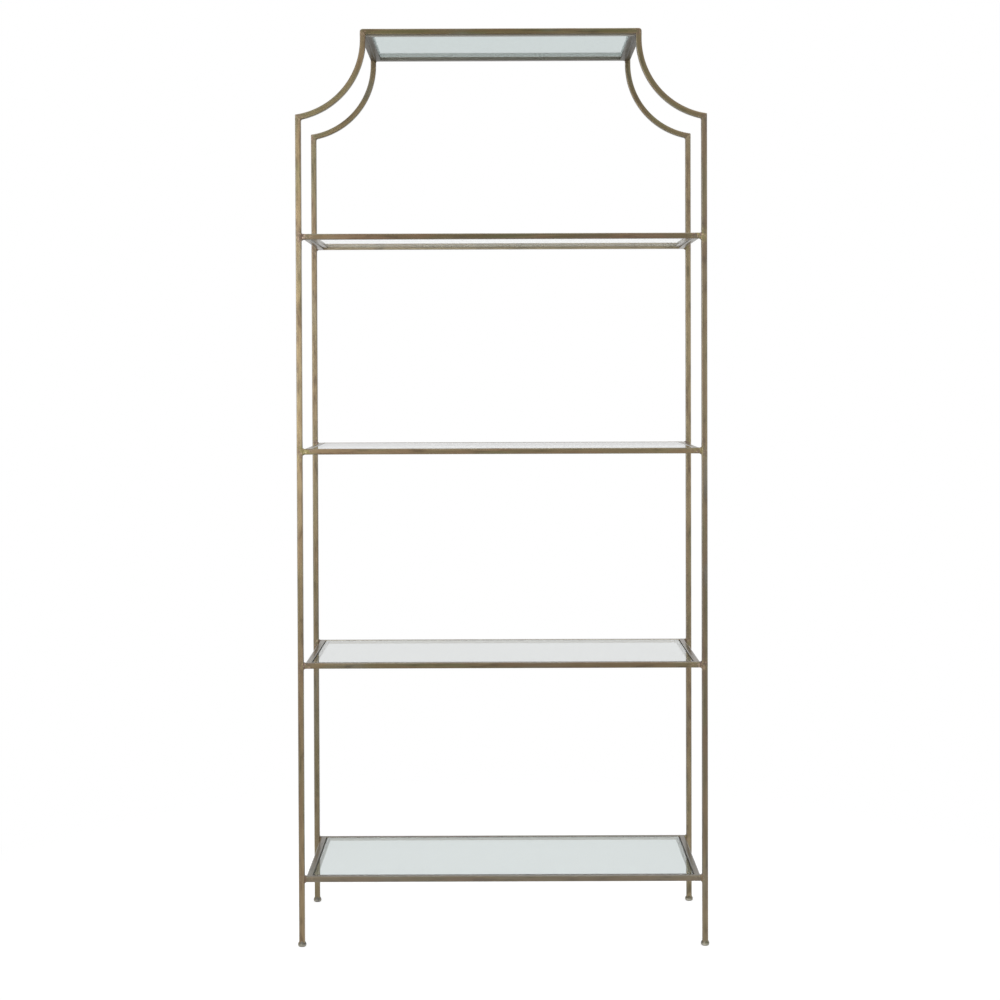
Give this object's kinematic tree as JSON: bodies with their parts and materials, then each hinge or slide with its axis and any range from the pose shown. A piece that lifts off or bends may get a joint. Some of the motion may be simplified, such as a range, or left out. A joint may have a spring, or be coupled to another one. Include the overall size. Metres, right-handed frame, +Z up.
{
  "type": "etagere",
  "caption": "Tall open etagere of slender square bar in antique brass finish, with a pagoda-shaped head and loose clear glass shelves.",
  "frame": {"origin": "on the floor, below the middle of the piece", "axes": "+Z up; +X to the right for someone facing the piece; the front is towards -Y"},
  "size_m": [0.9206, 0.3618, 2.0455],
  "materials": {
    "antique_brass": "burnished antique brass with a mottled, unevenly rubbed patina",
    "braze": "rough brazing metal, greenish yellow with brown heat stain",
    "foot_brass": "turned brass, rubbed lighter at the sole",
    "clear_glass": "clear float glass with a ground arris"
  },
  "bodies": {
    "frame": {"bottom_shelf_ledge_front": "antique_brass", "bottom_shelf_ledge_left": "antique_brass", "bottom_shelf_ledge_rear": "antique_brass", "bottom_shelf_ledge_right": "antique_brass", "bottom_shelf_rail_front": "antique_brass", "bottom_shelf_rail_left": "antique_brass", "bottom_shelf_rail_rear": "antique_brass", "bottom_shelf_rail_right": "antique_brass", "brazed_bridges_front": "braze", "brazed_bridges_rear": "braze", "crest_rail_front": "antique_brass", "crest_rail_left": "antique_brass", "crest_rail_rear": "antique_brass", "crest_rail_right": "antique_brass", "crest_sweep_front_left": "antique_brass", "crest_sweep_front_right": "antique_brass", "crest_sweep_rear_left": "antique_brass", "crest_sweep_rear_right": "antique_brass", "foot_front_left": "foot_brass", "foot_front_right": "foot_brass", "foot_rear_left": "foot_brass", "foot_rear_right": "foot_brass", "leg_front_left": "antique_brass", "leg_front_right": "antique_brass", "leg_rear_left": "antique_brass", "leg_rear_right": "antique_brass", "lower_shelf_ledge_front": "antique_brass", "lower_shelf_ledge_left": "antique_brass", "lower_shelf_ledge_rear": "antique_brass", "lower_shelf_ledge_right": "antique_brass", "lower_shelf_rail_front": "antique_brass", "lower_shelf_rail_left": "antique_brass", "lower_shelf_rail_rear": "antique_brass", "lower_shelf_rail_right": "antique_brass", "middle_shelf_ledge_front": "antique_brass", "middle_shelf_ledge_left": "antique_brass", "middle_shelf_ledge_rear": "antique_brass", "middle_shelf_ledge_right": "antique_brass", "middle_shelf_rail_front": "antique_brass", "middle_shelf_rail_left": "antique_brass", "middle_shelf_rail_rear": "antique_brass", "middle_shelf_rail_right": "antique_brass", "top_shelf_ledge_front": "antique_brass", "top_shelf_ledge_left": "antique_brass", "top_shelf_ledge_rear": "antique_brass", "top_shelf_ledge_right": "antique_brass", "upper_shelf_ledge_front": "antique_brass", "upper_shelf_ledge_left": "antique_brass", "upper_shelf_ledge_rear": "antique_brass", "upper_shelf_ledge_right": "antique_brass", "upper_shelf_rail_front": "antique_brass", "upper_shelf_rail_left": "antique_brass", "upper_shelf_rail_rear": "antique_brass", "upper_shelf_rail_right": "antique_brass"},
    "bottom_pane": {"bottom_shelf_glass": "clear_glass"},
    "lower_pane": {"lower_shelf_glass": "clear_glass"},
    "middle_pane": {"middle_shelf_glass": "clear_glass"},
    "upper_pane": {"upper_shelf_glass": "clear_glass"},
    "top_pane": {"top_shelf_glass": "clear_glass"}
  },
  "joints": [
    {"name": "bottom_pane_lift", "type": "slide", "parent": "frame", "child": "bottom_pane", "axis": [0, 0, 1], "range_m": [0, 0.05]},
    {"name": "lower_pane_lift", "type": "slide", "parent": "frame", "child": "lower_pane", "axis": [0, 0, 1], "range_m": [0, 0.05]},
    {"name": "middle_pane_lift", "type": "slide", "parent": "frame", "child": "middle_pane", "axis": [0, 0, 1], "range_m": [0, 0.05]},
    {"name": "upper_pane_lift", "type": "slide", "parent": "frame", "child": "upper_pane", "axis": [0, 0, 1], "range_m": [0, 0.05]},
    {"name": "top_pane_lift", "type": "slide", "parent": "frame", "child": "top_pane", "axis": [0, 0, 1], "range_m": [0, 0.05]}
  ]
}
